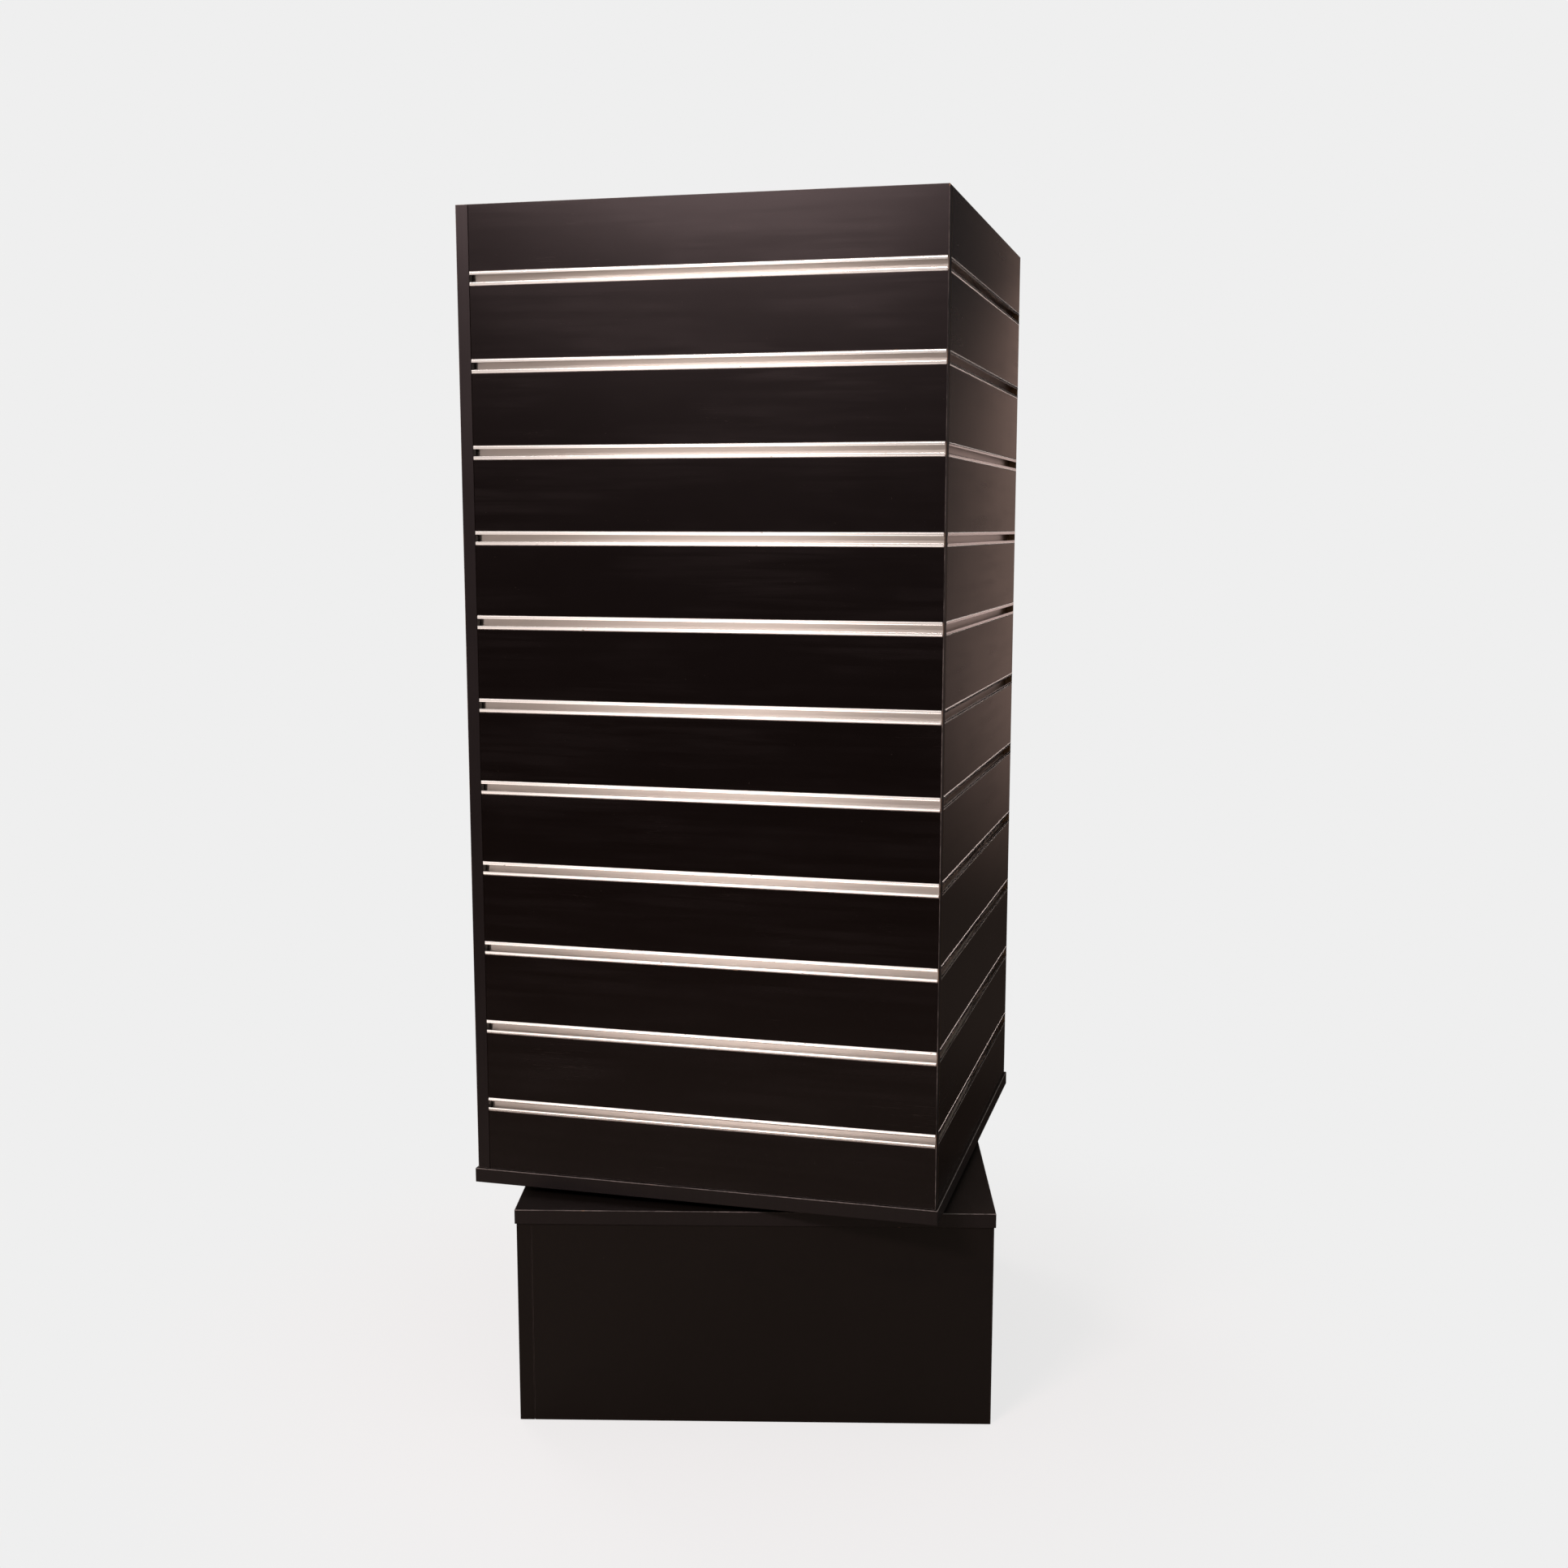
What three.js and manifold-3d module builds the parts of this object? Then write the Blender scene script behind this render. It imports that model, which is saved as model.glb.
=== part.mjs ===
// Rotating slatwall display stand: a square tower of four grooved panels, each groove lined
// with an aluminium channel that takes display hooks, on a turntable board that turns on a
// ball bearing over a closed box base. Millimetres, +Z up, origin on the turning axis at the
// floor. The tower is square to the axes with its front on the -Y side, and the base stands
// turned by BASE_TURN under it.
import * as THREE from 'three';
import { mergeVertices } from 'three/addons/utils/BufferGeometryUtils.js';
import Module from 'manifold-3d';

// Tower panels: grooved boards that stand in a pinwheel, each with one end butted
// against the inner face of its neighbour and the other end showing.
const TOWER_WIDTH = 582.5;
const PANEL_HEIGHT = 1167.5;
const PANEL_THICKNESS = 15.5;
const EDGE_BAND = 1;

// Grooves of a panel: a narrow mouth, then a taller cavity behind it. The end distance runs
// from a panel's top or bottom to the middle of its nearest groove, and the pitch between
// them comes to the 100 mm that is usual for these panels.
const GROOVE_COUNT = 11;
const GROOVE_END_DISTANCE = 83.75;
const GROOVE_MOUTH = 16.8;
const GROOVE_LIP = 4.5;
const GROOVE_CAVITY = 23.4;
const GROOVE_DEPTH = 11.3;

// Aluminium channel that lines a groove.
const INSERT_WALL = 1.1;
const INSERT_LIP = 4;
const INSERT_PROUD = 0.3;
const INSERT_ROUND = 0.5;
const INSERT_CLEARANCE = 0.2;

// Boards that close the tower above and below.
const TOP_BOARD_THICKNESS = 18;
const TURNTABLE_THICKNESS = 18;
const TURNTABLE_OVERHANG = 3;

// Ball bearing between the turntable board and the base.
const BEARING_SIDE = 230;
const BEARING_CORNER = 24;
const BEARING_HEIGHT = 8;
const BEARING_SHEET = 1.5;
const BEARING_HOLE_RADIUS = 60;
const RACE_RADIUS = 75;
const RACE_WALL = 1.5;
const BALL_COUNT = 16;
const CAGE_INSET = 0.4;
const CAGE_THICKNESS = 1.2;

// Base box: four sides in the same pinwheel, an overhanging top and an inset bottom.
const BASE_WIDTH = 583;
const BASE_HEIGHT = 273;
const BASE_SIDE_THICKNESS = 18;
const BASE_TOP_THICKNESS = 18;
const BASE_TOP_OVERHANG = 2;
const BASE_BOTTOM_THICKNESS = 18;
const BASE_BOTTOM_RISE = 12;
const BASE_TURN = THREE.MathUtils.degToRad(13.4);

// Gap left in each joint between two boards, play of the bearing's parts, and how far a
// cutting solid runs past the face that it opens.
const JOINT_GAP = 0.3;
const BEARING_PLAY = 0.3;
const OVERRUN = 2;

// Facets of the round forms.
const RING_SEGMENTS = 48;
const BALL_SEGMENTS = 8;
const ROUND_STEPS = 3;

// Heights that follow from the sizes above.
const halfTower = TOWER_WIDTH / 2;
const baseTop = BASE_HEIGHT;
const turntableBottom = baseTop + BEARING_HEIGHT;
const turntableTop = turntableBottom + TURNTABLE_THICKNESS;
const panelBottom = turntableTop + JOINT_GAP;
const panelTop = panelBottom + PANEL_HEIGHT;
const groovePitch = (PANEL_HEIGHT - 2 * GROOVE_END_DISTANCE) / (GROOVE_COUNT - 1);

const blackLaminate = { color: 0x1c1716, roughness: 0.45, metalness: 0 };
const blackBoard = { color: 0x1b1817, roughness: 0.55, metalness: 0 };
const satinAluminium = { color: 0xd8d4cd, roughness: 0.32, metalness: 1 };
const zincSteel = { color: 0xb4b6b8, roughness: 0.4, metalness: 1 };
const ballSteel = { color: 0xc9cacc, roughness: 0.2, metalness: 1 };

const wasm = await Module();
wasm.setup();

// A closed geometry as a solid that can be joined and cut.
function solidOf(geometry) {
  const bare = geometry.clone();
  bare.deleteAttribute('normal');
  bare.deleteAttribute('uv');
  const merged = mergeVertices(bare);
  const mesh = new wasm.Mesh({
    numProp: 3,
    vertProperties: merged.attributes.position.array,
    triVerts: new Uint32Array(merged.index.array),
  });
  return new wasm.Manifold(mesh);
}

// The geometry of a solid, flat shaded.
function geometryOf(solid) {
  const mesh = solid.getMesh();
  const joined = new THREE.BufferGeometry();
  joined.setAttribute('position', new THREE.BufferAttribute(mesh.vertProperties, mesh.numProp));
  joined.setIndex(new THREE.BufferAttribute(mesh.triVerts, 1));
  const flat = joined.toNonIndexed();
  flat.computeVertexNormals();
  return flat;
}

// A named piece with its own material.
function piece(name, geometry, finish) {
  const mesh = new THREE.Mesh(geometry, new THREE.MeshStandardMaterial(finish));
  mesh.name = name;
  return mesh;
}

// A block between two corners.
function block(low, high) {
  const size = high.clone().sub(low);
  const geometry = new THREE.BoxGeometry(size.x, size.y, size.z);
  const middle = low.clone().add(high).multiplyScalar(0.5);
  return geometry.translate(middle.x, middle.y, middle.z);
}

// A square board centred on the turning axis, between two heights.
function squareBoard(width, bottom, top) {
  const half = width / 2;
  return block(new THREE.Vector3(-half, -half, bottom), new THREE.Vector3(half, half, top));
}

// A section drawn as [depth behind the front face, height], run from left to right along X.
function alongFront(points, left, right) {
  const outline = new THREE.Shape(points.map(([depth, height]) => new THREE.Vector2(depth, height)));
  const run = new THREE.ExtrudeGeometry(outline, { depth: right - left, bevelEnabled: false });
  const place = new THREE.Matrix4().makeBasis(
    new THREE.Vector3(0, 1, 0),
    new THREE.Vector3(0, 0, 1),
    new THREE.Vector3(1, 0, 0),
  );
  place.setPosition(left, -halfTower, 0);
  return run.applyMatrix4(place);
}

// A ring or disc turned about the axis, from a closed [radius, height] section.
function turned(section) {
  const closed = [...section, section[0]].map(([radius, height]) => new THREE.Vector2(radius, height));
  return new THREE.LatheGeometry(closed, RING_SEGMENTS).rotateX(Math.PI / 2);
}

// Points of an arc about [depth, height], from one angle to another.
function arc(depth, height, radius, from, to) {
  const points = [];
  for (let step = 0; step <= ROUND_STEPS; step += 1) {
    const angle = from + ((to - from) * step) / ROUND_STEPS;
    points.push([depth + radius * Math.cos(angle), height + radius * Math.sin(angle)]);
  }
  return points;
}

// Middle height of a groove, counted from the top.
function grooveHeight(index) {
  return panelTop - GROOVE_END_DISTANCE - index * groovePitch;
}

// Left end of a front panel, butted against its neighbour.
const panelLeft = -halfTower + PANEL_THICKNESS + JOINT_GAP;
// Where the edge band closes the grooves at the right end.
const bandInside = halfTower - EDGE_BAND;

// The space that the cutter takes out for one groove.
function grooveCutter(index) {
  const middle = grooveHeight(index);
  const mouth = GROOVE_MOUTH / 2;
  const cavity = GROOVE_CAVITY / 2;
  const section = [
    [-OVERRUN, middle - mouth],
    [GROOVE_LIP, middle - mouth],
    [GROOVE_LIP, middle - cavity],
    [GROOVE_DEPTH, middle - cavity],
    [GROOVE_DEPTH, middle + cavity],
    [GROOVE_LIP, middle + cavity],
    [GROOVE_LIP, middle + mouth],
    [-OVERRUN, middle + mouth],
  ];
  return solidOf(alongFront(section, panelLeft - OVERRUN, bandInside));
}

// A slatwall panel in the front place: a board with grooves that stop at its edge band.
function slatPanel() {
  const low = new THREE.Vector3(panelLeft, -halfTower, panelBottom);
  const high = new THREE.Vector3(halfTower, -halfTower + PANEL_THICKNESS, panelTop);
  let board = solidOf(block(low, high));
  for (let index = 0; index < GROOVE_COUNT; index += 1) {
    board = board.subtract(grooveCutter(index));
  }
  return geometryOf(board);
}

// Upper half of the channel's section: round nose of the lip, front of the lip, throat,
// wing behind the board's lip and web, then back along the inside.
function insertHalf() {
  const outer = GROOVE_MOUTH / 2 - INSERT_CLEARANCE;
  const wing = GROOVE_CAVITY / 2 - INSERT_CLEARANCE;
  const front = -INSERT_PROUD;
  const shoulder = GROOVE_LIP + INSERT_CLEARANCE;
  const back = GROOVE_DEPTH - INSERT_CLEARANCE;
  const nose = INSERT_WALL / 2;
  const mouth = outer - INSERT_LIP;
  return [
    [back - INSERT_WALL, 0],
    [back - INSERT_WALL, wing - INSERT_WALL],
    [shoulder + INSERT_WALL, wing - INSERT_WALL],
    [shoulder + INSERT_WALL, outer - INSERT_WALL],
    [front + INSERT_WALL, outer - INSERT_WALL],
    ...arc(front + nose, mouth + nose, nose, 0, -Math.PI),
    ...arc(front + INSERT_ROUND, outer - INSERT_ROUND, INSERT_ROUND, Math.PI, Math.PI / 2),
    [shoulder, outer],
    [shoulder, wing],
    [back, wing],
  ];
}

// The aluminium channel of one groove.
function grooveInsert(index) {
  const half = insertHalf();
  const mirrored = half.slice(1).reverse().map(([depth, height]) => [depth, -height]);
  const middle = grooveHeight(index);
  const section = [...half, ...mirrored].map(([depth, height]) => [depth, middle + height]);
  return alongFront(section, panelLeft, bandInside - INSERT_CLEARANCE);
}

// One side of the tower, turned into its place: the panel and its channels.
function towerSide(name, turns) {
  const side = new THREE.Group();
  side.add(piece(`slat_panel_${name}`, slatPanel(), blackLaminate));
  for (let index = 0; index < GROOVE_COUNT; index += 1) {
    const row = String(index + 1).padStart(2, '0');
    side.add(piece(`groove_insert_${name}_${row}`, grooveInsert(index), satinAluminium));
  }
  side.rotation.z = (turns * Math.PI) / 2;
  return side;
}

// Top board, let in between the four panels and flush with their tops.
function topBoard() {
  const width = TOWER_WIDTH - 2 * (PANEL_THICKNESS + JOINT_GAP);
  return squareBoard(width, panelTop - TOP_BOARD_THICKNESS, panelTop);
}

// Turntable board that carries the panels and stands out all round.
function turntableBoard() {
  const width = TOWER_WIDTH + 2 * TURNTABLE_OVERHANG;
  return squareBoard(width, turntableBottom, turntableTop);
}

// A square bearing sheet with cut corners and a round hole, between two heights.
function bearingSheet(bottom, top) {
  const half = BEARING_SIDE / 2;
  const cut = half - BEARING_CORNER;
  const outline = new THREE.Shape([
    new THREE.Vector2(-cut, -half),
    new THREE.Vector2(cut, -half),
    new THREE.Vector2(half, -cut),
    new THREE.Vector2(half, cut),
    new THREE.Vector2(cut, half),
    new THREE.Vector2(-cut, half),
    new THREE.Vector2(-half, cut),
    new THREE.Vector2(-half, -cut),
  ]);
  const hole = new THREE.Path();
  hole.absarc(0, 0, BEARING_HOLE_RADIUS, 0, 2 * Math.PI, true);
  outline.holes.push(hole);
  const options = { depth: top - bottom, bevelEnabled: false, curveSegments: RING_SEGMENTS };
  return new THREE.ExtrudeGeometry(outline, options).translate(0, 0, bottom);
}

const lowerSheetBottom = baseTop + JOINT_GAP;
const lowerSheetTop = lowerSheetBottom + BEARING_SHEET;
const upperSheetTop = turntableBottom - JOINT_GAP;
const upperSheetBottom = upperSheetTop - BEARING_SHEET;
const ballMiddle = (lowerSheetTop + upperSheetBottom) / 2;
const ballRadius = (upperSheetBottom - lowerSheetTop) / 2 - BEARING_PLAY;

// Bearing plate on the base: its race wall stands inside the balls.
function lowerPlate() {
  const outside = RACE_RADIUS - ballRadius - BEARING_PLAY;
  const inside = outside - RACE_WALL;
  const wall = [
    [inside, lowerSheetBottom],
    [outside, lowerSheetBottom],
    [outside, upperSheetBottom - BEARING_PLAY],
    [inside, upperSheetBottom - BEARING_PLAY],
  ];
  return geometryOf(solidOf(bearingSheet(lowerSheetBottom, lowerSheetTop)).add(solidOf(turned(wall))));
}

// Bearing plate under the turntable board: its race wall hangs outside the balls.
function upperPlate() {
  const inside = RACE_RADIUS + ballRadius + BEARING_PLAY;
  const outside = inside + RACE_WALL;
  const wall = [
    [inside, lowerSheetTop + BEARING_PLAY],
    [outside, lowerSheetTop + BEARING_PLAY],
    [outside, upperSheetTop],
    [inside, upperSheetTop],
  ];
  return geometryOf(solidOf(bearingSheet(upperSheetBottom, upperSheetTop)).add(solidOf(turned(wall))));
}

// Cage ring with its balls, which rolls round between the plates at half the tower's speed.
function ballCage() {
  const inside = RACE_RADIUS - ballRadius + CAGE_INSET;
  const outside = RACE_RADIUS + ballRadius - CAGE_INSET;
  const bottom = ballMiddle - CAGE_THICKNESS / 2;
  const top = ballMiddle + CAGE_THICKNESS / 2;
  let cage = solidOf(turned([[inside, bottom], [outside, bottom], [outside, top], [inside, top]]));
  for (let index = 0; index < BALL_COUNT; index += 1) {
    const angle = (2 * Math.PI * index) / BALL_COUNT;
    const ball = new THREE.SphereGeometry(ballRadius, BALL_SEGMENTS, BALL_SEGMENTS - 2);
    ball.rotateX(Math.PI / 2);
    ball.translate(RACE_RADIUS * Math.cos(angle), RACE_RADIUS * Math.sin(angle), ballMiddle);
    cage = cage.add(solidOf(ball));
  }
  return geometryOf(cage);
}

// A side of the base in the front place, butted at its left end like the tower's panels.
function baseSide() {
  const half = BASE_WIDTH / 2;
  const low = new THREE.Vector3(-half + BASE_SIDE_THICKNESS + JOINT_GAP, -half, 0);
  const top = baseTop - BASE_TOP_THICKNESS - JOINT_GAP;
  return block(low, new THREE.Vector3(half, -half + BASE_SIDE_THICKNESS, top));
}

function baseTopBoard() {
  return squareBoard(BASE_WIDTH + 2 * BASE_TOP_OVERHANG, baseTop - BASE_TOP_THICKNESS, baseTop);
}

// Bottom board, let in between the four sides and raised off the floor.
function baseBottomBoard() {
  const width = BASE_WIDTH - 2 * (BASE_SIDE_THICKNESS + JOINT_GAP);
  return squareBoard(width, BASE_BOTTOM_RISE, BASE_BOTTOM_RISE + BASE_BOTTOM_THICKNESS);
}

const sides = ['front', 'right', 'back', 'left'];

// What turns: four grooved sides, top board, turntable board and the upper bearing plate.
function tower() {
  const group = new THREE.Group();
  sides.forEach((name, turns) => group.add(towerSide(name, turns)));
  group.add(piece('top_board', topBoard(), blackBoard));
  group.add(piece('turntable_board', turntableBoard(), blackBoard));
  group.add(piece('bearing_upper_plate', upperPlate(), zincSteel));
  return group;
}

// What stands on the floor: the box and the lower bearing plate, turned under the tower.
function base() {
  const group = new THREE.Group();
  sides.forEach((name, turns) => {
    const side = piece(`base_side_${name}`, baseSide(), blackBoard);
    side.rotation.z = (turns * Math.PI) / 2;
    group.add(side);
  });
  group.add(piece('base_top_board', baseTopBoard(), blackBoard));
  group.add(piece('base_bottom_board', baseBottomBoard(), blackBoard));
  group.add(piece('bearing_lower_plate', lowerPlate(), zincSteel));
  group.rotation.z = BASE_TURN;
  return group;
}

const stand = new THREE.Group();
stand.add(tower());
stand.add(piece('bearing_ball_cage', ballCage(), ballSteel));
stand.add(base());

export default stand;
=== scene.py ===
# Looks of the rotating slatwall display stand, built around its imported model.
import math

import bmesh
import bpy
from mathutils import Matrix, Vector


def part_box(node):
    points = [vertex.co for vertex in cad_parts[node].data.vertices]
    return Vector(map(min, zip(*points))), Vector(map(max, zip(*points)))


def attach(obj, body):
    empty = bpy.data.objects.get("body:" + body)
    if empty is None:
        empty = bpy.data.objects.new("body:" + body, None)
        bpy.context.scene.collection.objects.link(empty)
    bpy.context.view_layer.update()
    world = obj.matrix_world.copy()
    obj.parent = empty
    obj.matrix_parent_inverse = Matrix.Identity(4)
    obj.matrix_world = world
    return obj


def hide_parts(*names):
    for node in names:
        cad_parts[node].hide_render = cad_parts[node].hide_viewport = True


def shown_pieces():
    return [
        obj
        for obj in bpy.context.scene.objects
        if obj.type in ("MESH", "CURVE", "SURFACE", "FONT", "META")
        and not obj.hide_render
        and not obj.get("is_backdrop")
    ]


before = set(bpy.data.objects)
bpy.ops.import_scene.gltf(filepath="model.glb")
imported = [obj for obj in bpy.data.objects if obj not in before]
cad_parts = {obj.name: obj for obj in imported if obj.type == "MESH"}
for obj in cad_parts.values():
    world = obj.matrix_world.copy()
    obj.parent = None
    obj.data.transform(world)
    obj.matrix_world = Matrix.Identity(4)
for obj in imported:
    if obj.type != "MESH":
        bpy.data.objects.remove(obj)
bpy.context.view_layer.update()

MM = 0.001
SIDES = ("front", "right", "back", "left")
ROWS = 11
QUARTER = math.pi / 2
BASE_TURN = math.radians(13.4)

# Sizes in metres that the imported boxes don't give.
BAND = 1.0 * MM
EDGE_ROUND = 0.5 * MM
BOARD_ROUND = 0.8 * MM
BAND_ROUND = 0.6 * MM
BASE_BAND_ROUND = 0.48 * MM
MOUTH_ROUND = 0.25 * MM
PANEL_JOINT = 0.35 * MM
FIT = 0.2 * MM

GROOVE_MOUTH = 16.8 * MM
GROOVE_LIP = 4.5 * MM
GROOVE_CAVITY = 23.4 * MM
GROOVE_DEPTH = 11.3 * MM

CHANNEL_WALL = 1.1 * MM
CHANNEL_LIP = 4.0 * MM
CHANNEL_CROWN = 0.12 * MM
CHANNEL_NOSE = 0.25 * MM
CHANNEL_END_GAP = 0.8 * MM
LIP_EDGE = 1.1 * MM
LIP_EDGE_LEAN = math.radians(50)

PLATE_SHEET = 1.5 * MM
SCREWS = 4
SCREW_PLACE = 98.0 * MM
SCREW_HEAD = 3.6 * MM
SCREW_SOCKET = 1.3 * MM
SCREW_RISE = 1.5 * MM
RACE = 75.0 * MM
BALLS = 16
CAGE_HALF = 4.5 * MM
CAGE_SHEET = 1.0 * MM

# A screw head's outline, as shares of its radius and its rise, and how high its socket's floor lies.
SCREW_OUTLINE = ((1.0, 0.0), (1.0, 0.35), (0.86, 0.75), (0.6, 1.0))
SOCKET_FLOOR = 0.4

# How many flats stand for each round.
ROUND_STEPS = 3
BAND_STEPS = 4
CROWN_STEPS = 8
NOSE_STEPS = 3
RIM_STEPS = 5
SCREW_STEPS = 18
CAGE_STEPS = 96
PUNCH_STEPS = 20
BALL_ROUND_STEPS = 20
BALL_HEIGHT_STEPS = 12

# Limits for one part of a face's normal: above ALONG it faces along that axis, below ACROSS it faces
# across the axis, and below BARELY it doesn't face up.
ALONG = 0.9
ACROSS = 0.5
BARELY = 0.1

# Points of a lathed piece closer than this, in metres, are one.
SAME_POINT = 1e-7

# Distances from the front panel's corner where its chip ends and where it is full.
CHIP_END = 3.6 * MM
CHIP_FULL = 2.6 * MM

# The bare board at the groove ends: the shares of the mouth, from its middle, and the heights where it is
# gone and where it is full, and how strongly it shows.
MOUTH_GONE = 0.5
MOUTH_FULL = 0.4
GROOVE_ENDS_GONE = 1.40
GROOVE_ENDS_FULL = 1.39
GROOVE_ENDS_SHARE = 0.55

# How far a board is shifted in the pattern of its finish, in metres, so that no two show the same marks.
SIDE_SHIFT = 10.0
TOP_BOARD_SHIFT = 50.0
TURNTABLE_SHIFT = 60.0
BASE_SHIFT = 100.0
BASE_TOP_SHIFT = 150.0
BASE_BOTTOM_SHIFT = 160.0


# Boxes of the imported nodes

def own_box(node, turn=0.0):
    """Lowest and highest corner of a node, seen in a frame turned about the upright axis."""
    back = Matrix.Rotation(-turn, 3, "Z")
    points = [back @ vertex.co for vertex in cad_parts[node].data.vertices]
    low = Vector([min(p[i] for p in points) for i in range(3)])
    high = Vector([max(p[i] for p in points) for i in range(3)])
    return low, high


panel_low, panel_high = own_box("slat_panel_front")
channel_low, channel_high = own_box("groove_insert_front_01")
second_low, second_high = own_box("groove_insert_front_02")
first_groove = (channel_low.z + channel_high.z) / 2
groove_pitch = first_groove - (second_low.z + second_high.z) / 2
front = panel_low.y
band_inside = panel_high.x - BAND
channel_proud = front - channel_low.y
grooves = [first_groove - row * groove_pitch for row in range(ROWS)]


# Node kit

# Sockets of a colour mix node: its two colours, and their mix.
MIX_FIRST = 6
MIX_SECOND = 7
MIX_RESULT = 2


def add_node(tree, kind, settings=None, inputs=None):
    """A node of any type: its settings first, then the values or links of its sockets."""
    made = tree.nodes.new(kind)
    for name, value in (settings or {}).items():
        setattr(made, name, value)
    for name, value in (inputs or {}).items():
        if isinstance(value, Field):
            value = value.socket
        if isinstance(value, bpy.types.NodeSocket):
            tree.links.new(value, made.inputs[name])
        else:
            made.inputs[name].default_value = value
    return made


class Field:
    """A number that changes over a surface: the output of a shader node, with sums written as usual."""

    def __init__(self, finish, socket):
        self.finish = finish
        self.socket = socket

    def maths(self, operation, first, second=None):
        """The result of a maths node."""
        inputs = {0: first} if second is None else {0: first, 1: second}
        return self.finish.field("ShaderNodeMath", {"operation": operation}, inputs)

    def __add__(self, other):
        return self.maths("ADD", self, other)

    def __radd__(self, other):
        return self.maths("ADD", other, self)

    def __sub__(self, other):
        return self.maths("SUBTRACT", self, other)

    def __rsub__(self, other):
        return self.maths("SUBTRACT", other, self)

    def __mul__(self, other):
        return self.maths("MULTIPLY", self, other)

    def __rmul__(self, other):
        return self.maths("MULTIPLY", other, self)

    def __truediv__(self, other):
        return self.maths("DIVIDE", self, other)

    def __rtruediv__(self, other):
        return self.maths("DIVIDE", other, self)

    def __abs__(self):
        return self.maths("ABSOLUTE", self)

    def most(self, other):
        """The larger of two numbers."""
        return self.maths("MAXIMUM", self, other)

    def whole(self):
        """The number rounded down."""
        return self.maths("FLOOR", self)


class Finish:
    """A material, or the world, as a tree of nodes."""

    def __init__(self, owner):
        self.owner = owner
        owner.use_nodes = True
        self.tree = owner.node_tree
        self.tree.nodes.clear()

    def node(self, kind, settings=None, inputs=None):
        return add_node(self.tree, kind, settings, inputs)

    def field(self, kind, settings=None, inputs=None, output=0):
        """One output of a new node, as a number to go on with."""
        return Field(self, self.node(kind, settings, inputs).outputs[output])

    def own_place(self):
        """Where a point lies on its own board, before the board was turned into its place."""
        return self.node("ShaderNodeAttribute", {"attribute_name": "own_place"}).outputs["Vector"]

    def object_place(self):
        """Where a point lies on its object."""
        return self.node("ShaderNodeTexCoord").outputs["Object"]

    def axis(self, vector, name):
        """One part of a vector."""
        return self.field("ShaderNodeSeparateXYZ", None, {0: vector}, name)

    def scaled(self, vector, scale, shift=(0.0, 0.0, 0.0)):
        """A place in a pattern: the point's own, stretched and then shifted."""
        inputs = {"Vector": vector, "Scale": scale, "Location": shift}
        return self.node("ShaderNodeMapping", None, inputs).outputs[0]

    def noise(self, vector, scale, detail=3.0, roughness=0.5, distortion=0.0):
        """A soft random pattern between 0 and 1."""
        inputs = {"Vector": vector, "Scale": scale, "Detail": detail, "Roughness": roughness,
                  "Distortion": distortion}
        return self.field("ShaderNodeTexNoise", None, inputs, "Fac")

    def ramp(self, value, low, high):
        """Runs smoothly from 0 at low to 1 at high."""
        settings = {"interpolation_type": "SMOOTHSTEP"}
        inputs = {"Value": value, "From Min": low, "From Max": high, "To Min": 0.0, "To Max": 1.0}
        return self.field("ShaderNodeMapRange", settings, inputs)

    def blend(self, factor, first, second):
        """A colour between two colours."""
        inputs = {"Factor": factor, MIX_FIRST: first, MIX_SECOND: second}
        return self.node("ShaderNodeMix", {"data_type": "RGBA"}, inputs).outputs[MIX_RESULT]

    def bump(self, height, strength, distance):
        """A normal that follows small heights."""
        inputs = {"Height": height, "Strength": strength, "Distance": distance}
        return self.node("ShaderNodeBump", None, inputs).outputs[0]

    def surface(self, kind, inputs=None):
        """The output of a shader node."""
        return self.node(kind, None, inputs).outputs[0]

    def split_by_camera(self, unseen, seen):
        """One shader for the camera, and another for all other rays."""
        camera_ray = self.node("ShaderNodeLightPath").outputs["Is Camera Ray"]
        return self.surface("ShaderNodeMixShader", {0: camera_ray, 1: unseen, 2: seen})

    def principled(self, inputs):
        """Ends the tree in a Principled shader with these inputs."""
        self.finish_with(self.surface("ShaderNodeBsdfPrincipled", inputs))
        return self.owner

    def finish_with(self, surface):
        """Ends the tree in a shader."""
        end = "World" if isinstance(self.owner, bpy.types.World) else "Material"
        self.node(f"ShaderNodeOutput{end}", None, {"Surface": surface})


def new_finish(name):
    """A new material, as a tree of nodes."""
    return Finish(bpy.data.materials.new(name))


# Finishes

BARE = (0.42, 0.27, 0.155, 1)
PLASTIC_IOR = 1.5


def dust_specks(f, place, scale):
    """Dust, in a few fine specks."""
    return f.ramp(f.noise(place, scale, detail=1.0), 0.79, 0.84)


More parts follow.
